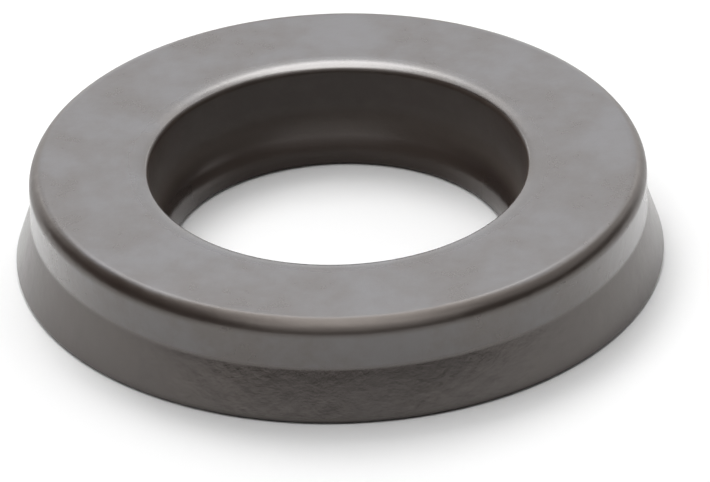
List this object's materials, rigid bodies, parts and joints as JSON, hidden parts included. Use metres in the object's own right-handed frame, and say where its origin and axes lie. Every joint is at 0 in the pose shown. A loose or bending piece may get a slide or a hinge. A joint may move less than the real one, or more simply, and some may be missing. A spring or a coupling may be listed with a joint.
{
  "type": "oil seal",
  "caption": "U-cup rubber oil seal: a flat-faced heel ring over an outer lip that flares out and an inner lip that flares in, with a pressure groove between them.",
  "frame": {"origin": "centre of the plane that the two lips stand on, on the seal's axis", "axes": "+Z along the seal's axis from the lips up to the flat face of the heel; X and Y are any two directions across it"},
  "size_m": [0.0262, 0.0262, 0.0042],
  "materials": {
    "rubber": "satin, smooth moulded, slightly dusty grey-black"
  },
  "bodies": {
    "root": {"oil_seal": "rubber"}
  },
  "joints": []
}
